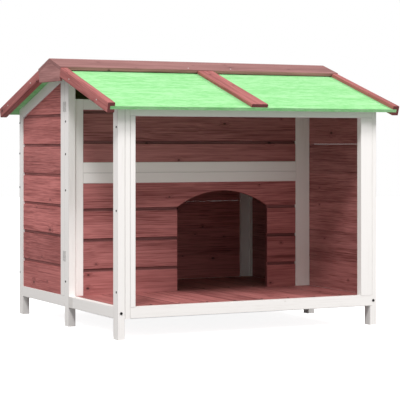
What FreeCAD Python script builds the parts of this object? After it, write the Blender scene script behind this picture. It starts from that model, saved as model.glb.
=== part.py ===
"""Flat-pack pine dog house with a covered porch.

The house is drawn in its own frame: X from left to right, Y from front to back, Z up, with zero at
the foot of the outer front left corner. Every body is then moved by half the width and half the
depth, so that the origin lies on the ground under the middle of the house. Sizes are millimetres.
"""
import FreeCAD, Part
import math
import os

import Sketcher

doc = FreeCAD.newDocument("dog_house")
sheet = doc.addObject("Spreadsheet::Sheet", "Sizes")


# ---------------------------------------------------------------- lengths that keep their formula
class Length:
    """A number together with the sheet formula that gives it, so that a sketch can be bound to it."""

    def __init__(self, formula, value):
        self.formula = formula
        self.value = value

    def __add__(self, other):
        other = as_length(other)
        return Length(f"({self.formula} + {other.formula})", self.value + other.value)

    def __radd__(self, other):
        return as_length(other) + self

    def __sub__(self, other):
        other = as_length(other)
        return Length(f"({self.formula} - {other.formula})", self.value - other.value)

    def __rsub__(self, other):
        return as_length(other) - self

    def __mul__(self, other):
        other = as_length(other)
        return Length(f"({self.formula} * {other.formula})", self.value * other.value)

    def __truediv__(self, other):
        other = as_length(other)
        return Length(f"({self.formula} / {other.formula})", self.value / other.value)

    def __neg__(self):
        return Length(f"(0 - {self.formula})", -self.value)


def as_length(number):
    return number if isinstance(number, Length) else Length(str(number), float(number))


def sine(angle):
    return Length(f"sin({angle.formula} * 1 deg)", math.sin(math.radians(angle.value)))


def cosine(angle):
    return Length(f"cos({angle.formula} * 1 deg)", math.cos(math.radians(angle.value)))


def size(alias, number, meaning):
    """Write one driving size into the next row of the sheet and return it as a bound length."""
    row = len(size.rows) + 1
    size.rows.append(alias)
    sheet.set(f"A{row}", meaning)
    sheet.set(f"B{row}", str(number))
    sheet.setAlias(f"B{row}", alias)
    sheet.recompute()
    return Length(f"Sizes.{alias}", float(sheet.get(alias)))


size.rows = []

# ---------------------------------------------------------------- driving sizes
house_width = size("house_width", 1046, "outer face of the left posts to outer face of the right")
house_depth = size("house_depth", 964, "front face of the front posts to back of the rear posts")
gable_height = size("gable_height", 955, "ground to the underside of the roof at the ridge")
roof_pitch = size("roof_pitch", 17.5, "slope of both roof boards in degrees")

post_thickness = size("post_thickness", 28, "posts and bottom rails, measured across the house")
post_width = size("post_width", 38, "posts, measured from front to back")
frame_thickness = size("frame_thickness", 28, "stiles and rails of the partition and rear frames")
front_thickness = size("front_thickness", 26, "stiles and rails of the porch front")
rail_width = size("rail_width", 40, "height of the bottom rails")
rebate_depth = size("rebate_depth", 10, "rebate of the right posts that takes the cross frames")
arris = size("arris", 1.5, "eased long edges of every planed timber")

floor_height = size("floor_height", 111, "ground to the top of the floor and the bottom rails")
plank_thickness = size("plank_thickness", 15, "floor planks")
plank_pitch = size("plank_pitch", 110, "floor planks, edge to edge")
plank_gap = size("plank_gap", 1.5, "open joint between floor planks")
ledger_width = size("ledger_width", 20, "battens that carry the ends of the planks")

board_thickness = size("board_thickness", 15, "wall boards")
board_recess = size("board_recess", 3, "wall boards stand this far behind the frame's face")
board_pitch = size("board_pitch", 111.6, "height of one course of wall boards")
step_height = size("step_height", 11.6, "stepped-back upper edge of a wall board")
step_depth = size("step_depth", 5, "depth of that step")
board_joint = size("board_joint", 0.4, "open joint between two wall boards")
board_housing = size("board_housing", 10, "porch boards run this far into the middle post")
course_drop = size("course_drop", 15, "courses of the rear wall start this far under the floor")

mid_post_offset = size("mid_post_offset", 2, "ridge line to the back of the middle posts")
left_strip_width = size("left_strip_width", 20, "strip beside the front left post")
left_stile_width = size("left_stile_width", 20, "left stile of the porch front")
right_stile_width = size("right_stile_width", 50, "right stile of the porch front and rear frame")
rear_stile_width = size("rear_stile_width", 40, "left stile of the rear frame")
cabin_stile_width = size("cabin_stile_width", 40, "front stile of the cabin's side walls")
top_rail_height = size("top_rail_height", 38, "front and rear top rails, at the outer face")
gable_rail_width = size("gable_rail_width", 41, "sloping rail under the roof, square to the slope")

inner_left_width = size("inner_left_width", 35, "left stile of the partition")
inner_right_width = size("inner_right_width", 61, "right stile of the partition")
inner_rail_width = size("inner_rail_width", 39, "rails of the partition")
split_height = size("split_height", 562.5, "ground to the joint between the partition's panels")
partition_drop = size("partition_drop", 120.5, "top of the partition under the gable height")
upper_course_start = size("upper_course_start", 569.8, "ground to the upper panel's first course")

door_left = size("door_left", 449, "outer left face to the left edge of the doorway")
door_width = size("door_width", 390, "clear width of the doorway")
door_rise = size("door_rise", 60, "height of the arch above its springing line")
door_cover = size("door_cover", 32.7, "wood left between the arch and the rail over it")

roof_side = size("roof_side", 61.5, "overhang of the roof past the left and right posts")
eave_overhang = size("eave_overhang", 54, "roof underside past the front and rear faces")
roof_thickness = size("roof_thickness", 11, "roof boards")
barge_width = size("barge_width", 27, "grooved barge boards, measured across the house")
barge_web = size("barge_web", 10.5, "outer web of a barge board, and the ridge end plates")
barge_cover = size("barge_cover", 13, "upper lip of a barge board, over the roof board")
barge_lip = size("barge_lip", 12, "lower lip of a barge board, under the roof board")
batten_width = size("batten_width", 65, "middle battens on the roof")
batten_thickness = size("batten_thickness", 13, "middle battens")
batten_setback = size("batten_setback", 3, "middle battens end this far short of the eave")
cap_reach = size("cap_reach", 111, "width of one ridge board down the slope")
cap_thickness = size("cap_thickness", 13, "ridge boards")
cap_gap = size("cap_gap", 2.9, "ridge boards clear the roof boards by this")
end_plate_drop = size("end_plate_drop", 58, "ridge end plates reach this far under the gable height")

plate_width = size("plate_width", 27, "flat steel joining plates")
plate_height = size("plate_height", 36, "flat steel joining plates")
plate_thickness = size("plate_thickness", 1.5, "flat steel joining plates")
plate_hole = size("plate_hole", 2, "radius of the screw holes in a joining plate")
low_plate = size("low_plate", 258, "ground to the middle of the lower joining plates")
high_plate_drop = size("high_plate_drop", 148, "upper joining plates under the gable height")

bolt_radius = size("bolt_radius", 3, "shank of the leg bolts")
bolt_clearance = size("bolt_clearance", 0.2, "bolt holes are this much wider in radius")
bolt_length = size("bolt_length", 60, "shank of the leg bolts")
bolt_head_radius = size("bolt_head_radius", 4.8, "button head of the leg bolts")
bolt_head_height = size("bolt_head_height", 2.6, "button head of the leg bolts")
bolt_socket_radius = size("bolt_socket_radius", 2, "hexagon socket of the leg bolts")
bolt_socket_depth = size("bolt_socket_depth", 1.6, "hexagon socket of the leg bolts")
bolt_end_room = size("bolt_end_room", 2, "bolt holes are this much deeper than the shanks")

# Boards are counted from the floor up. A last board lower than the smallest one isn't cut.
SMALLEST_COURSE = 30.0
SOCKET_SIDES = 6

# ---------------------------------------------------------------- places worked out from the sizes
ridge_line = house_depth / 2
slope_sine = sine(roof_pitch)
slope_cosine = cosine(roof_pitch)
slope_tangent = slope_sine / slope_cosine

inner_left = post_thickness
inner_right = house_width - post_thickness
frame_right = inner_right + rebate_depth
rail_bottom = floor_height - rail_width
plank_bottom = floor_height - plank_thickness
rear_frame_front = house_depth - frame_thickness
rear_post_front = house_depth - post_width
mid_post_back = ridge_line + mid_post_offset
mid_post_front = mid_post_back - post_width
cabin_front = mid_post_back + cabin_stile_width
partition_back = mid_post_back
partition_front = partition_back - frame_thickness
partition_left = inner_left + inner_left_width
partition_right = frame_right - inner_right_width
partition_top = gable_height - partition_drop
lower_rail_bottom = split_height - inner_rail_width
door_right = door_left + door_width
door_shoulder = lower_rail_bottom - door_cover - door_rise
rear_course_start = floor_height - course_drop
bolt_height = rail_bottom + rail_width / 2
gable_rail_drop = gable_rail_width / slope_cosine
high_plate = gable_height - high_plate_drop


def under_roof_front(y):
    """Height of the roof's underside over a place in the front half."""
    return gable_height - (ridge_line - y) * slope_tangent


def under_roof_rear(y):
    """Height of the roof's underside over a place in the rear half."""
    return gable_height - (y - ridge_line) * slope_tangent


opening_top = under_roof_front(0) - top_rail_height


def on_slope(side, along, above):
    """The Y and Z of a point on the slope: along it from the ridge, and above the roof's underside.

    side is -1 for the front slope and 1 for the rear one.
    """
    across = as_length(along) * slope_cosine + as_length(above) * slope_sine
    up = as_length(above) * slope_cosine - as_length(along) * slope_sine
    return ridge_line + across * side, gable_height + up


def on_ridge(above):
    """The Y and Z of the point over the ridge line where two slopes this far up meet."""
    return ridge_line, gable_height + as_length(above) / slope_cosine


# ---------------------------------------------------------------- sketches, pads and pockets
PLANES = {"X": "YZ_Plane", "Y": "XZ_Plane", "Z": "XY_Plane"}


def new_body(label):
    body = doc.addObject("PartDesign::Body", label)
    body.Label = label
    body.setExpression("Placement.Base.x", "-Sizes.house_width / 2")
    body.setExpression("Placement.Base.y", "-Sizes.house_depth / 2")
    new_body.made.append(body)
    return body


new_body.made = []


def bind(sketch, kind, geometry, point, length):
    """Give one coordinate of a point a dimension that follows the sheet."""
    index = sketch.addConstraint(Sketcher.Constraint(kind, geometry, point, length.value))
    sketch.setExpression(f"Constraints[{index}]", length.formula)


def new_sketch(body, axis, start):
    """An empty sketch square to an axis, at a place along it."""
    sketch = body.newObject("Sketcher::SketchObject", f"{body.Label}_sketch")
    planes = {feature.Role: feature for feature in body.Origin.OriginFeatures}
    sketch.AttachmentSupport = [(planes[PLANES[axis]], "")]
    sketch.MapMode = "FlatFace"
    offset = -start if axis == "Y" else start
    sketch.AttachmentOffset.Base.z = offset.value
    sketch.setExpression("AttachmentOffset.Base.z", offset.formula)
    return sketch


def draw_outline(sketch, corners):
    """A closed outline of straight lines through corners, each bound in both directions."""
    corners = [(as_length(u), as_length(v)) for u, v in corners]
    points = [FreeCAD.Vector(u.value, v.value, 0) for u, v in corners]
    lines = []
    for here, there in zip(points, points[1:] + points[:1]):
        lines.append(sketch.addGeometry(Part.LineSegment(here, there), False))
    for line, following in zip(lines, lines[1:] + lines[:1]):
        sketch.addConstraint(Sketcher.Constraint("Coincident", line, 2, following, 1))
    for line, (u, v) in zip(lines, corners):
        bind(sketch, "DistanceX", line, 1, u)
        bind(sketch, "DistanceY", line, 1, v)


def draw_circle(sketch, u, v, radius):
    middle = FreeCAD.Vector(u.value, v.value, 0)
    circle = sketch.addGeometry(Part.Circle(middle, FreeCAD.Vector(0, 0, 1), radius.value), False)
    bind(sketch, "DistanceX", circle, 3, u)
    bind(sketch, "DistanceY", circle, 3, v)
    index = sketch.addConstraint(Sketcher.Constraint("Radius", circle, radius.value))
    sketch.setExpression(f"Constraints[{index}]", radius.formula)


def add_pad(body, axis, outlines, start, length):
    """Extrude outlines along the positive axis, from start over length."""
    sketch = new_sketch(body, axis, as_length(start))
    for corners in outlines:
        draw_outline(sketch, corners)
    pad = body.newObject("PartDesign::Pad", f"{body.Label}_pad")
    pad.Profile = sketch
    pad.Length = length.value
    pad.setExpression("Length", length.formula)
    pad.Reversed = axis == "Y"
    doc.recompute()
    return pad


def add_pocket(body, axis, start, length, corners=None, circles=()):
    """Cut an outline or circles along the positive axis, and check that something was cut."""
    before = body.Shape.Volume
    sketch = new_sketch(body, axis, as_length(start))
    if corners:
        draw_outline(sketch, corners)
    for u, v, radius in circles:
        draw_circle(sketch, u, v, radius)
    pocket = body.newObject("PartDesign::Pocket", f"{body.Label}_pocket")
    pocket.Profile = sketch
    pocket.Length = length.value
    pocket.setExpression("Length", length.formula)
    pocket.Reversed = axis != "Y"
    doc.recompute()
    if not body.Shape.Volume < before:
        raise RuntimeError(f"{body.Label}: the pocket cuts nothing")
    return pocket


def ease_long_edges(body, longest_side):
    """Chamfer the edges that run the length of a timber."""
    feature = body.Tip
    edges = [
        f"Edge{number}"
        for number, edge in enumerate(feature.Shape.Edges, start=1)
        if edge.Length > longest_side.value + 1
    ]
    chamfer = body.newObject("PartDesign::Chamfer", f"{body.Label}_arris")
    chamfer.Base = (feature, edges)
    chamfer.Size = arris.value
    chamfer.setExpression("Size", arris.formula)
    doc.recompute()


def rectangle(low_u, high_u, low_v, high_v):
    return [(low_u, low_v), (high_u, low_v), (high_u, high_v), (low_u, high_v)]


def trim_under_roof(body, drop=0):
    """Cut away what stands above the underside of both slopes, or above a line that much lower."""
    beyond = house_depth / 10
    front_y = -beyond
    rear_y = house_depth + beyond
    roof_top = gable_height + beyond
    corners = [
        (front_y, under_roof_front(front_y) - drop),
        (ridge_line, gable_height - drop),
        (rear_y, under_roof_rear(rear_y) - drop),
        (rear_y, roof_top),
        (front_y, roof_top),
    ]
    add_pocket(body, "X", -post_thickness, house_width + post_thickness * 2, corners)


# ---------------------------------------------------------------- timbers
def upright(label, left, right, front, back, bottom, top=None):
    """A post or stile. Without a top it reaches the roof and is cut to its slope."""
    body = new_body(label)
    height = (top if top else gable_height) - bottom
    add_pad(body, "Z", [rectangle(left, right, front, back)], bottom, height)
    ease_long_edges(body, inner_right_width)
    if top is None:
        trim_under_roof(body)
    return body


def cross_rail(label, left, right, front, back, bottom, top):
    """A rail that runs from left to right."""
    body = new_body(label)
    add_pad(body, "X", [rectangle(front, back, bottom, top)], left, right - left)
    ease_long_edges(body, inner_right_width)
    return body


def side_rail(label, left, right, front, back, takes_planks=False):
    """A bottom rail that runs from front to back, level with the floor.

    The right rails are rebated along their inner edge, so that the last plank can lie on them.
    """
    body = new_body(label)
    outline = rectangle(left, right, rail_bottom, floor_height)
    add_pad(body, "Y", [outline], front, back - front)
    ease_long_edges(body, inner_right_width)
    if takes_planks:
        ledge = rectangle(left - arris, frame_right, plank_bottom, floor_height + arris)
        add_pocket(body, "Y", front - arris, back - front + arris * 2, ledge)
    return body


def gable_rail(label, left, front, back, under_roof):
    """A sloping rail that follows the underside of the roof between two uprights."""
    body = new_body(label)
    outline = [
        (front, under_roof(front) - gable_rail_drop),
        (back, under_roof(back) - gable_rail_drop),
        (back, under_roof(back)),
        (front, under_roof(front)),
    ]
    add_pad(body, "X", [outline], left, post_thickness)
    ease_long_edges(body, inner_right_width)
    return body


# ---------------------------------------------------------------- walls of stepped boards
def courses(start, bottom, top):
    """The lower edge, upper edge and step of each course that fits between bottom and top.

    Courses are counted from start. The last one is cut to end at the top and has no step.
    """
    edges = []
    low = bottom
    number = 1
    high = start + board_pitch
    while (top - high).value > SMALLEST_COURSE:
        edges.append((low, high, True))
        low = high + board_joint
        number += 1
        high = start + board_pitch * number
    edges.append((low, top, False))
    return edges


def board_section(outer, inner, low, high, stepped):
    """The section of one board. Its outer face steps back along the upper edge."""
    if not stepped:
        return rectangle(outer, inner, low, high)
    inward = 1 if inner.value > outer.value else -1
    step = outer + step_depth * inward
    return [
        (outer, low),
        (inner, low),
        (inner, high),
        (step, high),
        (step, high - step_height),
        (outer, high - step_height),
    ]


def wall_sections(faces, edges):
    """The sections of a whole wall."""
    return [board_section(*faces, low, high, stepped) for low, high, stepped in edges]


def board_wall(label, axis, faces, first, last, edges):
    """A wall of boards, one solid for each course, running along an axis from first to last."""
    body = new_body(label)
    add_pad(body, axis, wall_sections(faces, edges), first, last - first)
    return body


# ================================================================ posts
left_side = (as_length(0), post_thickness)
right_side = (inner_right, house_width)
front_post = (as_length(0), post_width)
mid_post = (mid_post_front, mid_post_back)
rear_post = (rear_post_front, house_depth)

upright("front_left_post", *left_side, *front_post, as_length(0))
upright("mid_left_post", *left_side, *mid_post, as_length(0))
upright("rear_left_post", *left_side, *rear_post, as_length(0))
front_right = upright("front_right_post", *right_side, *front_post, as_length(0))
mid_right = upright("mid_right_post", *right_side, *mid_post, as_length(0))
rear_right = upright("rear_right_post", *right_side, *rear_post, as_length(0))

# The right posts are rebated, because the cross frames stand into them. In the middle post the
# rebate starts lower, to let the floor through.
front_rebate = rectangle(inner_right - arris, frame_right, -arris, front_thickness)
add_pocket(front_right, "Z", rail_bottom, gable_height, front_rebate)
mid_rebate = rectangle(
    inner_right - arris, frame_right, mid_post_front - arris, mid_post_back + arris
)
add_pocket(mid_right, "Z", plank_bottom, gable_height, mid_rebate)
rear_rebate = rectangle(inner_right - arris, frame_right, rear_frame_front, house_depth + arris)
add_pocket(rear_right, "Z", rail_bottom, gable_height, rear_rebate)

# ================================================================ porch front
front_face = (as_length(0), front_thickness)
strip_right = inner_left + left_strip_width
porch_left = strip_right + left_stile_width
porch_right = frame_right - right_stile_width

upright("front_left_strip", inner_left, strip_right, *front_face, rail_bottom)
upright("front_left_stile", strip_right, porch_left, *front_face, floor_height, opening_top)
upright("front_right_stile", porch_right, frame_right, *front_face, floor_height, opening_top)
cross_rail("front_bottom_rail", strip_right, frame_right, *front_face, rail_bottom, floor_height)
front_top = cross_rail(
    "front_top_rail", strip_right, frame_right, *front_face, opening_top, gable_height
)
trim_under_roof(front_top)

# ================================================================ rear wall
rear_face = (rear_frame_front, house_depth)
rear_board_left = inner_left + rear_stile_width
rear_board_right = frame_right - right_stile_width
rear_board_outer = house_depth - board_recess
rear_board_faces = (rear_board_outer, rear_board_outer - board_thickness)

upright("rear_left_stile", inner_left, rear_board_left, *rear_face, floor_height, opening_top)
upright("rear_right_stile", rear_board_right, frame_right, *rear_face, floor_height, opening_top)
cross_rail("rear_bottom_rail", inner_left, frame_right, *rear_face, rail_bottom, floor_height)
rear_top = cross_rail(
    "rear_top_rail", inner_left, frame_right, *rear_face, opening_top, gable_height
)
trim_under_roof(rear_top)
board_wall(
    "rear_wall_boards", "X", rear_board_faces, rear_board_left, rear_board_right,
    courses(rear_course_start, floor_height, opening_top),
)

# ================================================================ partition with the doorway
inner_face = (partition_front, partition_back)
left_stile = (inner_left, partition_left)
right_stile = (partition_right, frame_right)
upper_rail_bottom = partition_top - inner_rail_width
between_stiles = (partition_left, partition_right)

upright("lower_left_stile", *left_stile, *inner_face, floor_height, split_height)
upright("lower_right_stile", *right_stile, *inner_face, floor_height, split_height)
cross_rail("lower_top_rail", *between_stiles, *inner_face, lower_rail_bottom, split_height)
upright("upper_left_stile", *left_stile, *inner_face, split_height, partition_top)
upright("upper_right_stile", *right_stile, *inner_face, split_height, partition_top)
upper_sill_top = split_height + inner_rail_width
cross_rail("upper_bottom_rail", *between_stiles, *inner_face, split_height, upper_sill_top)
cross_rail("upper_top_rail", *between_stiles, *inner_face, upper_rail_bottom, partition_top)

door_board_outer = partition_front + board_recess
inner_board_faces = (door_board_outer, door_board_outer + board_thickness)
board_wall(
    "upper_partition_boards", "X", inner_board_faces, *between_stiles,
    courses(upper_course_start, upper_sill_top, upper_rail_bottom),
)

# The courses beside the doorway are counted down from the springing line of the arch, and the
# lowest one is cut at the floor.
door_edges = []
course_high = door_shoulder
while (course_high - board_pitch - floor_height).value > SMALLEST_COURSE:
    door_edges.append((course_high - board_pitch + board_joint, course_high, True))
    course_high = course_high - board_pitch
door_edges.append((floor_height, course_high, True))
board_wall(
    "door_boards_left", "X", inner_board_faces, partition_left, door_left, door_edges
)
board_wall(
    "door_boards_right", "X", inner_board_faces, door_right, partition_right, door_edges
)

# The board over the doorway spans the whole panel, and a flat arch is sawn into its lower edge.
arch_radius = (door_width * door_width / 4 + door_rise * door_rise) / (door_rise * 2)
arch_centre = door_shoulder + door_rise - arch_radius
arch_board = new_body("door_arch_board")
arch_section = board_section(
    *inner_board_faces, door_shoulder + board_joint, lower_rail_bottom, False
)
add_pad(arch_board, "X", [arch_section], partition_left, partition_right - partition_left)
arch_circle = (door_left + door_width / 2, arch_centre, arch_radius)
add_pocket(arch_board, "Y", door_board_outer, board_thickness, circles=[arch_circle])

# ================================================================ side walls
left_board_faces = (board_recess, board_recess + board_thickness)
right_board_outer = house_width - board_recess
right_board_faces = (right_board_outer, right_board_outer - board_thickness)
gable_board_top = gable_height - gable_rail_drop


def cabin_side(side, faces, board_faces):
    """One side wall of the cabin: bottom rail, front stile, sloping rail and boards."""
    left, right = faces
    side_rail(
        f"{side}_cabin_bottom_rail", left, right, mid_post_back, rear_post_front,
        takes_planks=side == "right",
    )
    upright(f"{side}_cabin_stile", left, right, mid_post_back, cabin_front, floor_height)
    gable_rail(f"{side}_cabin_top_rail", left, cabin_front, rear_post_front, under_roof_rear)
    wall = board_wall(
        f"{side}_cabin_boards", "Y", board_faces, cabin_front, rear_post_front,
        courses(floor_height, floor_height, gable_board_top),
    )
    trim_under_roof(wall, gable_rail_drop)


cabin_side("left", left_side, left_board_faces)
cabin_side("right", right_side, right_board_faces)

side_rail(
    "right_porch_bottom_rail", *right_side, post_width, mid_post_front, takes_planks=True
)
gable_rail("right_porch_top_rail", inner_right, post_width, mid_post_front, under_roof_front)
porch_wall = board_wall(
    "right_porch_boards", "Y", right_board_faces, post_width, mid_post_front + board_housing,
    courses(floor_height, floor_height, gable_board_top),
)
trim_under_roof(porch_wall, gable_rail_drop)

# The boards' rear ends stand in a housing in the middle post, which is as high as they are.
housing = rectangle(
    frame_right - arris, right_board_outer, mid_post_front - arris, mid_post_front + board_housing
)
housing_height = under_roof_front(mid_post_front + board_housing) - gable_rail_drop - floor_height
add_pocket(mid_right, "Z", floor_height, housing_height, housing)

# ================================================================ floor
joist_front = mid_post_front - rail_width
side_rail("left_porch_bottom_rail", *left_side, post_width, joist_front)

# The joist under the doorway shows its end in the open side, level with the rail beside it.
joist = new_body("floor_joist")
joist_outline = [
    (0, rail_bottom),
    (inner_right, rail_bottom),
    (inner_right, plank_bottom),
    (inner_left, plank_bottom),
    (inner_left, floor_height),
    (0, floor_height),
]
add_pad(joist, "Y", [joist_outline], joist_front, rail_width)

ledger_heights = (rail_bottom, plank_bottom)
floor_span = (inner_left, inner_right)
cross_rail(
    "front_floor_ledger", *floor_span,
    front_thickness, front_thickness + ledger_width, *ledger_heights,
)
cross_rail(
    "rear_floor_ledger", *floor_span,
    rear_frame_front - ledger_width, rear_frame_front, *ledger_heights,
)

# The planks run from front to back. The last one is cut to what room is left, and is notched
# round the right corner posts.
planks = new_body("floor_planks")
plank_sections = []
plank_left = inner_left
plank_number = 1
while (frame_right - inner_left - plank_pitch * plank_number).value > SMALLEST_COURSE:
    plank_right = inner_left + plank_pitch * plank_number
    plank_sections.append(
        rectangle(plank_left, plank_right - plank_gap, plank_bottom, floor_height)
    )
    plank_left = plank_right
    plank_number += 1
plank_sections.append(rectangle(plank_left, frame_right, plank_bottom, floor_height))
add_pad(planks, "Y", plank_sections, front_thickness, rear_frame_front - front_thickness)
for notch_front, notch_back in (
    (front_thickness - arris, post_width),
    (rear_post_front, rear_frame_front + arris),
):
    notch = rectangle(inner_right, frame_right + arris, notch_front, notch_back)
    add_pocket(planks, "Z", plank_bottom, plank_thickness, notch)

# ================================================================ roof
barge_top = roof_thickness + barge_cover
web_left = -roof_side
web_right = house_width + roof_side
board_left = web_left + barge_web
board_right = web_right - barge_web
roof_middle = house_width / 2
roof_reach = (ridge_line + eave_overhang) / slope_cosine
cap_bottom = roof_thickness + cap_gap
cap_top = cap_bottom + cap_thickness


def slope_strip(side, near, far, low, high):
    """The outline of a flat piece on one slope, between two distances from the ridge."""
    return [
        on_slope(side, near, low),
        on_slope(side, far, low),
        on_slope(side, far, high),
        on_slope(side, near, high),
    ]


def mitred_strip(side, far, low, high):
    """The outline of a flat piece that meets its twin in a plumb mitre over the ridge."""
    return [
        on_ridge(low),
        on_slope(side, far, low),
        on_slope(side, far, high),
        on_ridge(high),
    ]


def roof_piece(label, outline, left, right):
    body = new_body(label)
    add_pad(body, "X", [outline], left, right - left)
    return body


def barge_board(label, side, left, groove_left, groove_right):
    """A barge board with the groove that holds the edge of the roof board."""
    outline = slope_strip(side, cap_reach, roof_reach, -barge_lip, barge_top)
    body = roof_piece(label, outline, left, left + barge_width)
    ease_long_edges(body, inner_right_width)
    past_ends = barge_width
    groove = slope_strip(side, cap_reach - past_ends, roof_reach + past_ends, 0, roof_thickness)
    add_pocket(body, "X", groove_left, groove_right - groove_left, groove)


for name, side in (("front", -1), ("rear", 1)):
    sheet_outline = mitred_strip(side, roof_reach, 0, roof_thickness)
    roof_piece(f"{name}_roof_board", sheet_outline, board_left, board_right)
    barge_board(
        f"{name}_left_barge_board", side, web_left, board_left, web_left + barge_width + arris
    )
    barge_board(
        f"{name}_right_barge_board", side, web_right - barge_width,
        web_right - barge_width - arris, board_right,
    )
    batten_outline = slope_strip(
        side, cap_reach, roof_reach - batten_setback,
        roof_thickness, roof_thickness + batten_thickness,
    )
    batten = roof_piece(
        f"{name}_middle_batten", batten_outline,
        roof_middle - batten_width / 2, roof_middle + batten_width / 2,
    )
    ease_long_edges(batten, batten_width)
    cap_outline = mitred_strip(side, cap_reach, cap_bottom, cap_top)
    roof_piece(f"{name}_ridge_board", cap_outline, web_left, web_right)

# A plate closes each end of the ridge, between the square upper ends of the barge boards.
plate_foot = gable_height - end_plate_drop
front_low = on_slope(-1, cap_reach, -barge_lip)
rear_low = on_slope(1, cap_reach, -barge_lip)
end_plate_outline = [
    (front_low[0], plate_foot),
    (rear_low[0], plate_foot),
    rear_low,
    on_slope(1, cap_reach, cap_bottom),
    on_ridge(cap_bottom),
    on_slope(-1, cap_reach, cap_bottom),
    front_low,
]
roof_piece("left_ridge_end_plate", end_plate_outline, web_left, board_left)
roof_piece("right_ridge_end_plate", end_plate_outline, board_right, web_right)


# ================================================================ metal fittings
def joining_plates(label, left):
    """Two flat plates over the joint between a middle post and the cabin wall."""
    body = new_body(label)
    half_width = plate_width / 2
    half_height = plate_height / 2
    outlines = []
    holes = []
    for middle in (low_plate, high_plate):
        outlines.append(
            rectangle(
                mid_post_back - half_width, mid_post_back + half_width,
                middle - half_height, middle + half_height,
            )
        )
        for across in (-1, 1):
            for up in (-1, 1):
                hole_y = mid_post_back + plate_width / 4 * across
                hole_z = middle + plate_height / 4 * up
                holes.append((hole_y, hole_z, plate_hole))
    add_pad(body, "X", outlines, left, plate_thickness)
    add_pocket(body, "X", left, plate_thickness, circles=holes)


joining_plates("left_joining_plates", -plate_thickness)
joining_plates("right_joining_plates", house_width)

# Four leg bolts pass through the corner posts into the ends of the bottom rails.
bolt_columns = (post_thickness / 2, house_width - post_thickness / 2)
hole_radius = bolt_radius + bolt_clearance
hole_depth = bolt_length + bolt_end_room


def bore_for_bolts():
    """Bore the corner posts and the rail ends behind them, front and rear."""
    bores = (
        ("front_left_post", 0, as_length(0)),
        ("left_porch_bottom_rail", 0, as_length(0)),
        ("front_right_post", 1, as_length(0)),
        ("right_porch_bottom_rail", 1, as_length(0)),
        ("rear_left_post", 0, house_depth - hole_depth),
        ("left_cabin_bottom_rail", 0, house_depth - hole_depth),
        ("rear_right_post", 1, house_depth - hole_depth),
        ("right_cabin_bottom_rail", 1, house_depth - hole_depth),
    )
    for label, column, start in bores:
        body = doc.getObjectsByLabel(label)[0]
        hole = (bolt_columns[column], bolt_height, hole_radius)
        add_pocket(body, "Y", start, hole_depth, circles=[hole])


bore_for_bolts()


def leg_bolts(label, face, outward):
    """A pair of button head bolts with hexagon sockets. outward is -1 for the front face."""
    bolts = []
    for column in bolt_columns:
        place = FreeCAD.Vector(column.value, face.value, bolt_height.value)
        inward = FreeCAD.Vector(0, -outward, 0)
        head_top = place - inward * bolt_head_height.value
        shank = Part.makeCylinder(bolt_radius.value, bolt_length.value, place, inward)
        head = Part.makeCylinder(
            bolt_head_radius.value, bolt_head_height.value, head_top, inward
        )
        rim = [edge for edge in head.Edges if edge.BoundBox.YLength < 0.1 and edge.Closed]
        rim.sort(key=lambda edge: abs(edge.CenterOfMass.y - head_top.y))
        head = head.makeFillet(bolt_head_height.value / 2, rim[:1])
        corners = []
        for step in range(SOCKET_SIDES + 1):
            angle = 2 * math.pi * step / SOCKET_SIDES
            across = bolt_socket_radius.value * math.cos(angle)
            up = bolt_socket_radius.value * math.sin(angle)
            corners.append(head_top + FreeCAD.Vector(across, 0, up))
        socket = Part.Face(Part.makePolygon(corners)).extrude(inward * bolt_socket_depth.value)
        bolts.append(head.fuse(shank).cut(socket).removeSplitter())
    group = doc.addObject("Part::Feature", label)
    group.Label = label
    group.Shape = Part.makeCompound(bolts)
    group.setExpression("Placement.Base.x", "-Sizes.house_width / 2")
    group.setExpression("Placement.Base.y", "-Sizes.house_depth / 2")
    new_body.made.append(group)


leg_bolts("front_leg_bolts", as_length(0), -1)
leg_bolts("rear_leg_bolts", house_depth, 1)

# ================================================================ check and write
doc.recompute()
for item in doc.Objects:
    if "Invalid" in item.State or "Error" in item.State:
        raise RuntimeError(f"{item.Label} did not recompute: {item.State}")

os.makedirs("parts", exist_ok=True)
for piece in new_body.made:
    if piece.Shape.isNull() or not piece.Shape.isValid() or not piece.Shape.Solids:
        raise RuntimeError(f"{piece.Label} has no valid solid")
    piece.Shape.exportStep(f"parts/{piece.Label}.step")
    print(f"{piece.Label}: {len(piece.Shape.Solids)} solid(s), {piece.Shape.Volume / 1000:.1f} cm3")
print(f"{len(new_body.made)} nodes")
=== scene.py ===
# %% [markdown]
# # A flat-pack timber dog house
#
# The house is a kennel of planed pine: white posts and frames, walls of stained boards whose upper
# edges step back, and a low roof covered in green mineral felt. Its solids come from the workshop
# model, already at their real size and place. This lesson gives them their finish, adds the screws
# that hold them, and then sets up a camera and soft light.

# %% Load the solids
import math

import bmesh
import bpy
from mathutils import Matrix, Vector


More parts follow.
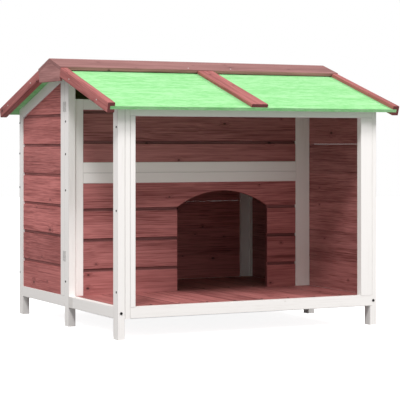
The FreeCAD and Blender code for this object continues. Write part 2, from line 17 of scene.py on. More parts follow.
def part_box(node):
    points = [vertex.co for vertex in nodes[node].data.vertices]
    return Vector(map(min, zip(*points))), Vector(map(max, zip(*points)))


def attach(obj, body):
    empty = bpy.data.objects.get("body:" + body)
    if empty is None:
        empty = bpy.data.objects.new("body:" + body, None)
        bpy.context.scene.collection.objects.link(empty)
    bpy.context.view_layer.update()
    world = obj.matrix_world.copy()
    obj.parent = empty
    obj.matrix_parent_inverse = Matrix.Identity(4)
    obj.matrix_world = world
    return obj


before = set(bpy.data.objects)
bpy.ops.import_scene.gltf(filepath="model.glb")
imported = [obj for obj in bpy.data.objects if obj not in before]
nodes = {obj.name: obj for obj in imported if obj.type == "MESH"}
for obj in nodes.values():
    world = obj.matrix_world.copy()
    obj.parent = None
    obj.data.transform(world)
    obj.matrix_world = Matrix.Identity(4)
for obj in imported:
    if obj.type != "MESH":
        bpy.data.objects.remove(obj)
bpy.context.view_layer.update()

# %% [markdown]
# ## Sizes that the finish depends on
#
# Most sizes can be read from the solids, so they are asked for and not typed in again: where the
# floor lies, how wide the house is, where a post stands. The few that are typed in are the ones a
# joiner would know, such as the height of one course of boards.
#
# Courses and planks are counted from where the first one starts. The courses that run across the
# house start below the floor. The planks are counted from a little inside the left edge of the
# floor, so that the strip of painted shade at the end of each count spans the gap between two
# planks.

# %% Sizes
MM = 0.001
ROOF_PITCH = math.radians(17.5)
COURSE_HEIGHT = 111.6 * MM
STEP_HEIGHT = 11.6 * MM
CROSS_COURSE_DROP = 15 * MM
UPPER_COURSE_RISE = 7.3 * MM
PLANK_PITCH = 110 * MM
SEAM_START = 2.2 * MM
SEAM_WIDTH = 6 * MM

floor_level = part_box("floor_planks")[1][2]
floor_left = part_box("floor_planks")[0][0]
left_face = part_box("front_left_post")[0][0]
right_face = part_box("front_right_post")[1][0]
front_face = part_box("front_left_post")[0][1]
rear_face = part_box("rear_left_post")[1][1]
cross_start = floor_level - CROSS_COURSE_DROP
upper_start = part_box("upper_bottom_rail")[0][2] + UPPER_COURSE_RISE
print("floor level:", round(floor_level / MM, 1), "mm")


# %% [markdown]
# ## Helpers for materials
#
# A finish is a small network of nodes. One function adds a node of any kind, gives it its settings
# and links its inputs, so that a recipe reads from top to bottom like a list of steps. Another
# turns the hex colours of a paint chart into the linear numbers that a shader works with. A third
# makes the empty material that the nodes go into.
#
# Two kinds of node come up again and again. A Map Range node stretches a range of values to
# another, and is set to do so smoothly. A Mix node has sockets for numbers, for vectors and for
# colours, so the ones that are used here are given names.

# %% Node and colour helpers
SMOOTH = {"interpolation_type": "SMOOTHSTEP"}
FACTOR, FIRST_COLOUR, SECOND_COLOUR = 0, 6, 7
FIRST_NUMBER, SECOND_NUMBER = 2, 3


def linear(hex_colour):
    """The linear red, green, blue and alpha of an sRGB hex colour."""
    channels = [int(hex_colour[i:i + 2], 16) / 255 for i in (1, 3, 5)]
    return [((c + 0.055) / 1.055) ** 2.4 if c > 0.04045 else c / 12.92 for c in channels] + [1.0]


def add(tree, kind, inputs=(), **settings):
    """Add a node with its settings, and fill or link its inputs.

    inputs is a list in the order of the sockets, or a dict by their names or numbers. Each value
    is a number, another node's output, or another node, which stands for its first output in use.
    """
    node = tree.nodes.new("ShaderNode" + kind)
    for name, value in settings.items():
        setattr(node, name, value)
    pairs = inputs.items() if isinstance(inputs, dict) else enumerate(inputs)
    for socket, value in pairs:
        if isinstance(value, bpy.types.Node):
            value = next(output for output in value.outputs if output.enabled)
        if isinstance(value, bpy.types.NodeSocket):
            tree.links.new(value, node.inputs[socket])
        else:
            node.inputs[socket].default_value = value
    return node


def new_material(name):
    """An empty material and its node tree."""
    material = bpy.data.materials.new(name)
    material.use_nodes = True
    tree = material.node_tree
    tree.nodes.clear()
    return material, tree


print("white is", linear("#FFFFFF"))


# %% [markdown]
# ## Pine: one recipe for every board
#
# Planed pine shows three things. Long streaks run with the grain, where the growth rings are cut
# through. There are a few knots in each board: most are pin knots of 4 mm, a few are as wide as
# 12 mm, and the grain flows round them. And each board comes from another tree, so its tone
# differs a little from its neighbour's.
#
# An image could show this, but it would repeat and would need unwrapping. So the grain is worked
# out from the place in the house, and a Mapping node turns it along the piece. The next cells build
# up the recipe: the boards, the knots, the streaks, the colour, and the edges of a board.

# %% Grain directions
UPRIGHT = (0.0, math.pi / 2, 0.0)
ALONG_WIDTH = (0.0, 0.0, 0.0)
ALONG_DEPTH = (0.0, 0.0, -math.pi / 2)
UP_FRONT_SLOPE = (-ROOF_PITCH, 0.0, -math.pi / 2)
UP_REAR_SLOPE = (ROOF_PITCH, 0.0, -math.pi / 2)
print("the trim slopes at", round(math.degrees(ROOF_PITCH), 1), "degrees")


# %% [markdown]
# ### Which board a place is in
#
# One solid can hold a whole wall of boards. The place divided by the height of a course, and
# rounded down, is the number of the board. It goes into a White Noise node, which answers with
# random numbers that stay the same all over that board. They move the pattern by a few metres, so
# that no two boards look alike. A piece that is one board has a fixed number.

# %% Boards
LONE_BOARD = 0.5
PATTERN_SHIFT = 7.0


def board_dice(tree, place, boards):
    """The random numbers of the board at a place.

    boards is the axis along which they are counted, where the first one starts and their pitch.
    """
    number = LONE_BOARD
    if boards:
        axis, start, pitch = boards
        distance = add(tree, "Math", [place.outputs[axis], start], operation="SUBTRACT")
        pitches = add(tree, "Math", [distance, pitch], operation="DIVIDE")
        number = add(tree, "Math", [pitches], operation="FLOOR")
    return add(tree, "TexWhiteNoise", {"W": number}, noise_dimensions="1D")


def grain_place(tree, coordinates, grain, dice):
    """The place in the pattern, with its first axis along the grain."""
    turned = add(tree, "Mapping", {"Vector": coordinates.outputs["Object"], "Rotation": grain})
    shift = add(
        tree, "VectorMath", {0: dice.outputs["Color"], "Scale": PATTERN_SHIFT}, operation="SCALE"
    )
    return add(tree, "VectorMath", [turned, shift], operation="ADD")


# %% [markdown]
# ### Knots
#
# A Voronoi pattern in cells of 130 by 60 mm gives each cell a middle and three random numbers. The
# first says if there is a knot, and the second how large it is. Its cube is taken, so that most
# knots are small. A knot is drawn out a little along the grain. It has a dark core, and a halo in
# which the wood is darker too.

# %% Knots
KNOT_SPACING_ALONG = 130 * MM
KNOT_SPACING_ACROSS = 60 * MM
PIN_KNOT = 2.2 * MM
LARGE_KNOT = 6.0 * MM
MOSTLY_SMALL = 3.0
DRAWN_OUT = 0.6

# Where the core and the halo fade out, in radii from the middle of the knot.
CORE_FADE = (0.5, 1.2)
HALO_FADE = (0.9, 4.5)


def off_middle(tree, place, middle, spacing):
    """How far a place is from the middle of its Voronoi cell, along one axis."""
    centre = add(tree, "Math", [middle, spacing], operation="MULTIPLY")
    return add(tree, "Math", [place, centre], operation="SUBTRACT")


def knots(tree, along, across, share):
    """How much a place lies in a knot's core and in its halo, and its offset across the grain.

    share is the part of the Voronoi cells that hold a knot.
    """
    cells_along = add(tree, "Math", [along, KNOT_SPACING_ALONG], operation="DIVIDE")
    cells_across = add(tree, "Math", [across, KNOT_SPACING_ACROSS], operation="DIVIDE")
    cell_place = add(tree, "CombineXYZ", [cells_along, cells_across])
    cells = add(
        tree, "TexVoronoi", {"Vector": cell_place, "Scale": 1.0}, voronoi_dimensions="2D"
    )
    lots = add(tree, "SeparateXYZ", [cells.outputs["Color"]])
    has_knot = add(tree, "Math", [lots.outputs[0], 1 - share], operation="GREATER_THAN")
    size = add(tree, "Math", [lots.outputs[1], MOSTLY_SMALL], operation="POWER")
    radius = add(
        tree, "Math", [size, LARGE_KNOT - PIN_KNOT, PIN_KNOT], operation="MULTIPLY_ADD"
    )
    middle = add(tree, "SeparateXYZ", [cells.outputs["Position"]])
    off_along = off_middle(tree, along, middle.outputs[0], KNOT_SPACING_ALONG)
    off_across = off_middle(tree, across, middle.outputs[1], KNOT_SPACING_ACROSS)
    shortened = add(tree, "Math", [off_along, DRAWN_OUT], operation="MULTIPLY")
    offset = add(tree, "CombineXYZ", [shortened, off_across])
    distance = add(tree, "VectorMath", [offset], operation="LENGTH")
    radii = add(tree, "Math", [distance, radius], operation="DIVIDE")
    in_core = add(tree, "MapRange", [radii, *CORE_FADE, 1.0, 0.0], **SMOOTH)
    in_halo = add(tree, "MapRange", [radii, *HALO_FADE, 1.0, 0.0], **SMOOTH)
    core = add(tree, "Math", [has_knot, in_core], operation="MULTIPLY")
    halo = add(tree, "Math", [has_knot, in_halo], operation="MULTIPLY")
    return core, halo, off_across


print("knots:", 2 * PIN_KNOT / MM, "to", 2 * LARGE_KNOT / MM, "mm wide")


# %% [markdown]
# ### Streaks
#
# The grain parts round a knot, because the lines near it are pushed away from its middle. It also
# sways slowly from side to side. Noise is then stretched along the bent grain. There are four kinds
# of streak, from the thinnest to the widest. Real fibres are far thinner than 2 mm. They are drawn
# at that width so that they show.

# %% Streaks
PARTING = -0.75
SWAY = 14 * MM
SWAY_LENGTH = 250 * MM

# Each kind: the length and the width of the streaks, and the noise's detail and roughness.
STREAKS = {
    "fibres": (70 * MM, 2.0 * MM, 2.0, 0.5),
    "lines": (210 * MM, 3.6 * MM, 2.0, 0.45),
    "rings": (480 * MM, 10 * MM, 3.0, 0.6),
    "blotches": (400 * MM, 45 * MM, 2.0, 0.5),
}


def bent_grain(tree, moved, side, from_knot, halo):
    """The place across the grain, where the grain bends round the knots and sways."""
    near_knot = add(tree, "Math", [from_knot, halo], operation="MULTIPLY")
    pull = add(tree, "Math", [near_knot, PARTING], operation="MULTIPLY")
    wander = add(tree, "TexNoise", {"Vector": moved, "Scale": 1 / SWAY_LENGTH, "Detail": 2.0})
    from_middle = add(tree, "Math", [wander, 0.5], operation="SUBTRACT")
    sway = add(tree, "Math", [from_middle, SWAY], operation="MULTIPLY")
    parted = add(tree, "Math", [side, pull], operation="ADD")
    return add(tree, "Math", [parted, sway], operation="ADD")


def streaks(tree, along, across, depth, kind):
    """Noise that is long with the grain and narrow across it."""
    length, width, detail, roughness = STREAKS[kind]
    in_sizes = [
        add(tree, "Math", [distance, size], operation="DIVIDE")
        for distance, size in ((along, length), (across, width), (depth, width))
    ]
    place = add(tree, "CombineXYZ", in_sizes)
    return add(
        tree, "TexNoise",
        {"Vector": place, "Scale": 1.0, "Detail": detail, "Roughness": roughness},
    )


print("kinds of streak:", ", ".join(STREAKS))


# %% [markdown]
# ### Colour of the wood
#
# The streaks added up give one tone, which leads from the light wood to the dark. Some boards are
# cut so that their streaks are faint, and others so that they are strong, which a joiner calls the
# board's figure. Thin lines of late wood lie over the tone where the wood is dark anyway, and then
# the halos and the cores of the knots.

# %% Colour of the wood
STREAK_SHARES = {"fibres": 0.22, "lines": 0.34, "rings": 0.16, "blotches": 0.28}
LEAST_FIGURE = 0.5
FIGURE_RANGE = 0.65

# The values of the noise between which the dark wood and the late wood fade in.
DARK_WOOD = (0.39, 0.61)
LATE_LINES = (0.55, 0.66)
LATE_BLOTCHES = (0.40, 0.62)


def streak_tone(tree, pattern, figure):
    """The streaks as one tone round a half, faint or strong by the figure of the board."""
    tone = 0.0
    for kind, share in STREAK_SHARES.items():
        tone = add(tree, "Math", [pattern[kind], share, tone], operation="MULTIPLY_ADD")
    from_middle = add(tree, "Math", [tone, 0.5], operation="SUBTRACT")
    return add(tree, "Math", [from_middle, figure, 0.5], operation="MULTIPLY_ADD")


def wood_colour(tree, finish, pattern, dice, core, halo):
    """The colour of the stained wood, with its late wood and its knots, before its tone."""
    throws = add(tree, "SeparateXYZ", [dice.outputs["Color"]])
    figure = add(
        tree, "Math", [throws.outputs[1], FIGURE_RANGE, LEAST_FIGURE], operation="MULTIPLY_ADD"
    )
    tone = streak_tone(tree, pattern, figure)
    in_lines = add(tree, "MapRange", [pattern["lines"], *LATE_LINES], **SMOOTH)
    in_blotches = add(tree, "MapRange", [pattern["blotches"], *LATE_BLOTCHES], **SMOOTH)
    both = add(tree, "Math", [in_lines, in_blotches], operation="MULTIPLY")
    late_wood = add(tree, "Math", [both, figure], operation="MULTIPLY")

    darkness = add(tree, "MapRange", [tone, *DARK_WOOD], **SMOOTH)
    colour = finish["light"]
    for amount, strength, tint in (
        (darkness, None, "dark"),
        (late_wood, "line_strength", "line"),
        (halo, "halo_strength", "line"),
        (core, "knot_strength", "knot"),
    ):
        if strength:
            amount = add(tree, "Math", [amount, finish[strength]], operation="MULTIPLY")
        colour = add(
            tree, "Mix", {FACTOR: amount, FIRST_COLOUR: colour, SECOND_COLOUR: finish[tint]},
            data_type="RGBA",
        )
    return colour


print("the shares of the streaks add up to", round(sum(STREAK_SHARES.values()), 2))


# %% [markdown]
# ### Tone of a board and its edges
#
# Each board is a little lighter or darker than the next. A strip of the board's face is darker in
# the step at the top of a wall board and along the seams of the floor. It is painted shade: the
# shade that the board above casts into the step, and the shade in the gap between two planks. The
# eased edges are the faces at 45 degrees, and on the white pieces they are darker. End grain drinks
# more stain than the planed faces do.

# %% Tone of a board and its edges
FACING = 0.5
SLANTED = (0.3, 0.45)
END_GRAIN = 0.9


def painted_strip_shade(tree, place, coordinates, boards, strip_shade):
    """Painted shade: the tone of the strip along each board's edge, and 1 elsewhere."""
    axis, start, pitch = boards
    outward, shade_tone, width = strip_shade
    distance = add(tree, "Math", [place.outputs[axis], start], operation="SUBTRACT")
    height = add(tree, "Math", [distance, pitch, 0.0], operation="WRAP")
    in_strip = add(tree, "Math", [height, pitch - width], operation="GREATER_THAN")
    facing = add(
        tree, "VectorMath", [coordinates.outputs["Normal"], outward], operation="DOT_PRODUCT"
    )
    is_outward = add(tree, "Math", [facing, FACING], operation="GREATER_THAN")
    shaded_strip = add(tree, "Math", [in_strip, is_outward], operation="MULTIPLY")
    return add(tree, "MapRange", [shaded_strip, 0.0, 1.0, 1.0, shade_tone], **SMOOTH)


def eased_edges(tree, facing, edge_tone):
    """The tone of the faces at 45 degrees to the board's own, and 1 elsewhere."""
    slant = add(tree, "Math", [facing.outputs[1], facing.outputs[2]], operation="MULTIPLY")
    steepness = add(tree, "Math", [slant], operation="ABSOLUTE")
    return add(tree, "MapRange", [steepness, *SLANTED, 1.0, edge_tone], **SMOOTH)


def stained_ends(tree, facing, colour, finish):
    """The colour, with the end grain darker."""
    endways = add(tree, "Math", [facing.outputs[0]], operation="ABSOLUTE")
    is_end = add(tree, "Math", [endways, END_GRAIN], operation="GREATER_THAN")
    strength = add(tree, "Math", [is_end, finish["end_strength"]], operation="MULTIPLY")
    return add(
        tree, "Mix", {FACTOR: strength, FIRST_COLOUR: colour, SECOND_COLOUR: finish["end"]},
        data_type="RGBA",
    )


# %% [markdown]
# ### The whole recipe
#
# The parts above come together here. The fibres and the lines also give the surface its relief,
# which is a few tenths of a millimetre, and the fibres make it a little uneven in its gloss. A
# thin stain leaves the wood nearly matt, so it reflects a little less than varnish would.

# %% Recipe for pine
RELIEF_DEPTH = 0.6 * MM
FIBRE_RELIEF = 0.5
LINE_RELIEF = 0.8
STAIN_IOR = 1.45
STAIN_SPECULAR = 0.35

# The values of the noise between which the gloss changes, in wood and in metal.
GLOSS_RANGE = (0.3, 0.7)


def wood_relief(tree, pattern, core, strength):
    """The bump of the fibres and lines, with the knots sunk in."""
    fibres = add(tree, "Math", [pattern["fibres"], FIBRE_RELIEF], operation="MULTIPLY")
    lines = add(tree, "Math", [pattern["lines"], LINE_RELIEF], operation="MULTIPLY")
    sunk = add(tree, "Math", [lines, core], operation="SUBTRACT")
    height = add(tree, "Math", [fibres, sunk], operation="ADD")
    return add(
        tree, "Bump", {"Height": height, "Strength": strength, "Distance": RELIEF_DEPTH}
    )


def pine(name, finish, tone_change, grain, boards=None, strip_shade=None):
    """Planed pine with a finish.

    tone_change makes the whole piece lighter or darker than the finish, as painted light and shade.
    boards is the axis, start and pitch of the boards in one solid. strip_shade is the outward
    normal of the face whose boards have a strip of painted shade along one edge, such as the step
    at their top, and the tone and width of that strip.
    """
    material, tree = new_material(name)
    coordinates = add(tree, "TexCoord")
    place = add(tree, "SeparateXYZ", [coordinates.outputs["Object"]])
    dice = board_dice(tree, place, boards)
    moved = grain_place(tree, coordinates, grain, dice)
    along, side, depth = add(tree, "SeparateXYZ", [moved]).outputs
    across = add(tree, "Math", [side, depth], operation="ADD")
    core, halo, from_knot = knots(tree, along, across, finish["knot_share"])
    bent_side = bent_grain(tree, moved, side, from_knot, halo)
    pattern = {kind: streaks(tree, along, bent_side, depth, kind) for kind in STREAKS}
    colour = wood_colour(tree, finish, pattern, dice, core, halo)

    # tone_change is painted light and shade for the whole piece. board_change varies it at random
    # from board to board.
    darkest = tone_change * (1 - finish["board_change"])
    lightest = tone_change * (1 + finish["board_change"])
    tone = add(tree, "MapRange", [dice, 0.0, 1.0, darkest, lightest], **SMOOTH)
    # A strip of painted shade along the edge of each board.
    if strip_shade:
        strip = painted_strip_shade(tree, place, coordinates, boards, strip_shade)
        tone = add(tree, "Math", [tone, strip], operation="MULTIPLY")
    normal = add(tree, "Mapping", {"Vector": coordinates.outputs["Normal"], "Rotation": grain})
    facing = add(tree, "SeparateXYZ", [normal])
    edges = eased_edges(tree, facing, finish["edge_tone"])
    tone = add(tree, "Math", [tone, edges], operation="MULTIPLY")
    toned = add(tree, "VectorMath", {0: colour, "Scale": tone}, operation="SCALE")

    gloss = [pattern["fibres"], *GLOSS_RANGE, finish["smooth"], finish["rough"]]
    shader = add(
        tree, "BsdfPrincipled",
        {
            "Base Color": stained_ends(tree, facing, toned, finish),
            "Roughness": add(tree, "MapRange", gloss, **SMOOTH),
            "Normal": wood_relief(tree, pattern, core, finish["relief"]),
            "IOR": STAIN_IOR, "Specular IOR Level": STAIN_SPECULAR,
        },
    )
    add(tree, "OutputMaterial", {"Surface": shader})
    return material


# %% [markdown]
# ## Finishes on the same pine
#
# The walls, the floor and the roof trim have a red-brown wood stain. It is thin, so streaks and
# knots show through it as darker marks. The boards round the porch have browner copies of the
# stain, which are painted shade. The ridge boards and the plates at their ends have a paler and
# greyer copy, which is a painted sheen of the light glancing off them. The frames have an opaque
# white stain. It hides the colour of the wood and leaves only a breath of the grain.

# %% Finishes
RED_STAIN = {
    "light": linear("#CB7B77"), "dark": linear("#98514E"), "line": linear("#6B302E"),
    "knot": linear("#3A1817"), "end": linear("#5C2B2C"),
    "knot_share": 0.22, "knot_strength": 0.85, "halo_strength": 0.3, "line_strength": 0.6,
    "end_strength": 0.85, "board_change": 0.09, "edge_tone": 1.0, "relief": 0.6,
    "smooth": 0.48, "rough": 0.66,
}
# A browner copy for the porch walls and the upper panel: painted shade.
PORCH_SHADE_STAIN = dict(RED_STAIN, light=linear("#C17F7C"), dark=linear("#8F5451"))
# A copy between the two, for the doorway and the floor: painted shade, lighter than the porch
# walls'.
PORCH_HALF_SHADE_STAIN = dict(RED_STAIN, light=linear("#C67D7A"), dark=linear("#945250"))
# A paler, greyer copy for the ridge boards and the end plates: a painted sheen.
RIDGE_SHEEN_STAIN = dict(
    RED_STAIN, light=linear("#B9837F"), dark=linear("#8F605D"), line=linear("#6E4240"),
    knot=linear("#4A2A29"), end=linear("#8F605D"), end_strength=0.3,
)
WHITE_STAIN = {
    "light": linear("#F8F4F1"), "dark": linear("#F6F2EF"), "line": linear("#DDD7D2"),
    "knot": linear("#CDC4BB"), "end": linear("#D5CFC9"),
    "knot_share": 0.06, "knot_strength": 0.3, "halo_strength": 0.05, "line_strength": 0.3,
    "end_strength": 0.5, "board_change": 0.02, "edge_tone": 0.8, "relief": 0.3,
    "smooth": 0.42, "rough": 0.55,
}
print("light red stain:", [round(part, 3) for part in RED_STAIN["light"]])

# %% [markdown]
# ## Which finish goes where
#
# A row for each kind of piece says which way its grain runs and how its boards are counted. Where a
# strip of painted shade lies along the boards, it also says in which face, how dark it is there and
# how wide the strip is. The tone makes a whole piece lighter or darker than its finish. It is
# painted
# light and shade: lighter on the left wall, and darker in the porch and on the roof trim.

# %% Timber
wall_boards = (2, floor_level, COURSE_HEIGHT)
cross_boards = (2, cross_start, COURSE_HEIGHT)
upper_boards = (2, upper_start, COURSE_HEIGHT)
planks = (0, floor_left + SEAM_START, PLANK_PITCH)

# Each strip of painted shade: the outward normal of the face, its tone and its width.
left_step_shade = ((-1, 0, 0), 0.62, STEP_HEIGHT)
right_step_shade = ((1, 0, 0), 0.62, STEP_HEIGHT)
rear_step_shade = ((0, 1, 0), 0.5, STEP_HEIGHT)
front_step_shade = ((0, -1, 0), 0.45, STEP_HEIGHT)
seam_shade = ((0, 0, 1), 0.35, SEAM_WIDTH)

# Each row: the kind of piece, its finish, its tone of painted light and shade, its grain, its
# boards and its strip of painted shade.
TIMBER = [
    ("left_wall", RED_STAIN, 1.06, ALONG_DEPTH, wall_boards, left_step_shade),
    ("right_wall", PORCH_SHADE_STAIN, 0.90, ALONG_DEPTH, wall_boards, right_step_shade),
    ("rear_wall", RED_STAIN, 1.0, ALONG_WIDTH, cross_boards, rear_step_shade),
    ("doorway", PORCH_HALF_SHADE_STAIN, 0.92, ALONG_WIDTH, cross_boards, front_step_shade),
    ("upper_panel", PORCH_SHADE_STAIN, 0.98, ALONG_WIDTH, upper_boards, front_step_shade),
    ("floor", PORCH_HALF_SHADE_STAIN, 0.94, ALONG_DEPTH, planks, seam_shade),
    ("batten", RED_STAIN, 0.95, ALONG_WIDTH),
    ("front_slope", RED_STAIN, 0.82, UP_FRONT_SLOPE),
    ("rear_slope", RED_STAIN, 0.80, UP_REAR_SLOPE),
    ("ridge", RIDGE_SHEEN_STAIN, 0.80, ALONG_WIDTH),
    ("end_plate", RIDGE_SHEEN_STAIN, 0.95, ALONG_DEPTH),
    ("white_upright", WHITE_STAIN, 1.0, UPRIGHT),
    ("white_across", WHITE_STAIN, 1.0, ALONG_WIDTH),
    ("white_deep", WHITE_STAIN, 1.0, ALONG_DEPTH),
    ("white_front_slope", WHITE_STAIN, 1.0, UP_FRONT_SLOPE),
    ("white_rear_slope", WHITE_STAIN, 1.0, UP_REAR_SLOPE),
]
finishes = {kind: pine(f"stained_pine_{kind}", *recipe) for kind, *recipe in TIMBER}
print("timber finishes:", len(finishes))


# %% [markdown]
# ## Mineral felt
#
# The roof boards are covered in pale green felt. It is bitumen with fine slate grit rolled into
# it, so it is matt and rough to the touch. From a step away the grit can't be seen one by one, but
# the roller leaves soft streaks along the sheet, which runs across the width of the house. The
# grit is about 1 mm in size and is drawn at 2 mm, so that it shows. The upright faces at the cut
# edge of the eave are darker: this is painted shade, speckled by the grit.

# %% Felt
GRIT = 2 * MM
GRIT_SHARE = 0.3
GRIT_SPOTS = (0.55, 0.7)
GRIT_RELIEF = 0.8 * MM
FELT_TONES = (0.38, 0.62)
FELT_DARK = linear("#87D184")
FELT_LIGHT = linear("#ABE4A7")
FELT_GRIT = linear("#6CB26A")
# The painted shade on the cut edge, and how much the grit speckles it.
EDGE_SHADE_TONE = 0.76
EDGE_SHADE_SPECKLE = 0.12
LEVEL_ENOUGH = 0.6

# Each row: how many streaks a metre holds in X, which runs along the sheet, and in Y and Z, and
# their share.
FELT_STREAKS = (((5.0, 34.0, 34.0), 0.4), ((30.0, 170.0, 170.0), 0.6))


def felt_colour(tree, coordinates, grit):
    """Green with faint streaks and darker spots of grit."""
    tone = 0.0
    for streaks_per_metre, share in FELT_STREAKS:
        stretched = add(
            tree, "Mapping",
            {"Vector": coordinates.outputs["Object"], "Scale": streaks_per_metre},
        )
        streak = add(
            tree, "TexNoise",
            {"Vector": stretched, "Scale": 1.0, "Detail": 3.0, "Roughness": 0.65},
        )
        tone = add(tree, "Math", [streak, share, tone], operation="MULTIPLY_ADD")
    lightness = add(tree, "MapRange", [tone, *FELT_TONES], **SMOOTH)
    colour = add(
        tree, "Mix",
        {FACTOR: lightness, FIRST_COLOUR: FELT_DARK, SECOND_COLOUR: FELT_LIGHT},
        data_type="RGBA",
    )
    spots = add(tree, "MapRange", [grit, *GRIT_SPOTS], **SMOOTH)
    spots = add(tree, "Math", [spots, GRIT_SHARE], operation="MULTIPLY")
    return add(
        tree, "Mix", {FACTOR: spots, FIRST_COLOUR: colour, SECOND_COLOUR: FELT_GRIT},
        data_type="RGBA",
    )


def painted_edge_shade(tree, coordinates, grit):
    """Painted shade: the tone of the upright faces, where the sheet is cut, and 1 elsewhere."""
    normal = add(tree, "SeparateXYZ", [coordinates.outputs["Normal"]])
    level = add(tree, "Math", [normal.outputs[2]], operation="ABSOLUTE")
    is_edge = add(tree, "Math", [level, LEVEL_ENOUGH], operation="LESS_THAN")
    darkest = EDGE_SHADE_TONE * (1 - EDGE_SHADE_SPECKLE)
    lightest = EDGE_SHADE_TONE * (1 + EDGE_SHADE_SPECKLE)
    speckle = add(tree, "MapRange", [grit, 0.4, 0.6, darkest, lightest], **SMOOTH)
    return add(
        tree, "Mix", {FACTOR: is_edge, FIRST_NUMBER: 1.0, SECOND_NUMBER: speckle},
        data_type="FLOAT",
    )


def mineral_felt(name):
    """Pale green roofing felt, with grit and faint streaks along the sheet."""
    material, tree = new_material(name)
    coordinates = add(tree, "TexCoord")
    grit = add(
        tree, "TexNoise",
        {"Vector": coordinates.outputs["Object"], "Scale": 1 / GRIT, "Detail": 2.0},
    )
    colour = felt_colour(tree, coordinates, grit)
    # The upright faces at the cut edge get painted shade.
    edge_tone = painted_edge_shade(tree, coordinates, grit)
    shader = add(
        tree, "BsdfPrincipled",
        {
            "Base Color": add(
                tree, "VectorMath", {0: colour, "Scale": edge_tone}, operation="SCALE"
            ),
            "Normal": add(
                tree, "Bump", {"Height": grit, "Strength": 0.35, "Distance": GRIT_RELIEF}
            ),
            "Roughness": 0.88, "IOR": 1.5, "Specular IOR Level": 0.25,
        },
    )
    add(tree, "OutputMaterial", {"Surface": shader})
    return material


finishes["felt"] = mineral_felt("green_mineral_felt")
print("roof finish:", finishes["felt"].name)


# %% [markdown]
# ## Metal
#
# The joining plates are zinc-plated steel sheet, whose plating has turned chalky and dull. The leg
# bolts and the wall screws are blackened steel, and the screws of the roof trim are bright zinc.
# Bare metal keeps its colour in the reflection. Where a film lies on it, part of the light comes
# back as from a powder, so the metallic share is lower. Clouds a few millimetres wide make the
# colour and the gloss vary a little from place to place.

# %% Metals
CLOUD = 6.25 * MM
CLOUD_EDGE = (0.4, 0.62)
CLOUD_ROUGHNESS = 0.15


def plated_steel(name, colour, worn, roughness, metallic):
    """Steel with a thin plating that varies a little from place to place."""
    material, tree = new_material(name)
    coordinates = add(tree, "TexCoord")
    cloud = add(
        tree, "TexNoise",
        {"Vector": coordinates.outputs["Object"], "Scale": 1 / CLOUD, "Detail": 3.0},
    )
    mottle = add(tree, "MapRange", [cloud, *CLOUD_EDGE], **SMOOTH)
    plating = add(
        tree, "Mix",
        {FACTOR: mottle, FIRST_COLOUR: linear(colour), SECOND_COLOUR: linear(worn)},
        data_type="RGBA",
    )
    gloss = [cloud, *GLOSS_RANGE, roughness, roughness + CLOUD_ROUGHNESS]
    shader = add(
        tree, "BsdfPrincipled",
        {
            "Base Color": plating, "Metallic": metallic,
            "Roughness": add(tree, "MapRange", gloss, **SMOOTH),
        },
    )
    add(tree, "OutputMaterial", {"Surface": shader})
    return material


finishes["zinc"] = plated_steel("zinc_plated_steel", "#E1DEDB", "#D0CDCA", 0.5, 0.3)
finishes["black_steel"] = plated_steel("blackened_steel", "#1C1B1E", "#2A282A", 0.55, 0.6)
finishes["bright_zinc"] = plated_steel("bright_zinc_screws", "#F2EFEC", "#DEDBD7", 0.4, 0.4)
print("finishes:", len(finishes))

# %% [markdown]
# ## Give each solid its finish
#
# The name of a node says what it is and which way it runs, so a short list of rules is enough.
# The first rule whose word is in the name is the one that counts.

# %% Assign the finishes
FINISH_RULES = [
    ("roof_board", "felt"),
    ("joining_plates", "zinc"),
    ("leg_bolts", "black_steel"),
    ("left_cabin_boards", "left_wall"),
    ("right_cabin_boards", "right_wall"),
    ("right_porch_boards", "right_wall"),
    ("rear_wall_boards", "rear_wall"),
    ("door_", "doorway"),
    ("upper_partition_boards", "upper_panel"),
    ("floor_planks", "floor"),
    ("floor_joist", "white_across"),
    ("ledger", "batten"),
    ("ridge_board", "ridge"),
    ("end_plate", "end_plate"),
    ("front_left_barge", "front_slope"),
    ("front_right_barge", "front_slope"),
    ("front_middle_batten", "front_slope"),
    ("barge", "rear_slope"),
    ("batten", "rear_slope"),
    ("porch_top_rail", "white_front_slope"),
    ("cabin_top_rail", "white_rear_slope"),
    ("cabin_bottom_rail", "white_deep"),
    ("porch_bottom_rail", "white_deep"),
    ("rail", "white_across"),
    ("post", "white_upright"),
    ("stile", "white_upright"),
    ("strip", "white_upright"),
]

for name, solid in nodes.items():
    finish = next(finish for word, finish in FINISH_RULES if word in name)
    solid.data.materials.clear()
    solid.data.materials.append(finishes[finish])
print("finished solids:", len(nodes))

# %% [markdown]
# ## Ease the sharp edges
#
# A planed board never has a knife edge. Its arris is rubbed down to a radius of about a
# millimetre, and that thin round line is what catches the light. On the boards, the planks and the
# roof trim, a Weld modifier joins the loose triangles of each solid, and a Bevel modifier rounds
# every edge that turns sharply. Both leave the solid itself as it is.

# %% Round the arrises
ARRIS_RADIUS = 1.2 * MM
ARRIS_SEGMENTS = 2
SHARP_ANGLE = math.radians(40)
WELD_REACH = 0.02 * MM
EASED = ("boards", "planks", "barge", "batten", "ridge_board", "end_plate")

eased = [solid for name, solid in nodes.items() if any(word in name for word in EASED)]
for solid in eased:
    weld = solid.modifiers.new("Weld", "WELD")
    weld.merge_threshold = WELD_REACH
    bevel = solid.modifiers.new("Arris", "BEVEL")
    bevel.width = ARRIS_RADIUS
    bevel.segments = ARRIS_SEGMENTS
    bevel.limit_method = "ANGLE"
    bevel.angle_limit = SHARP_ANGLE
    bevel.use_clamp_overlap = True
print("eased solids:", len(eased))


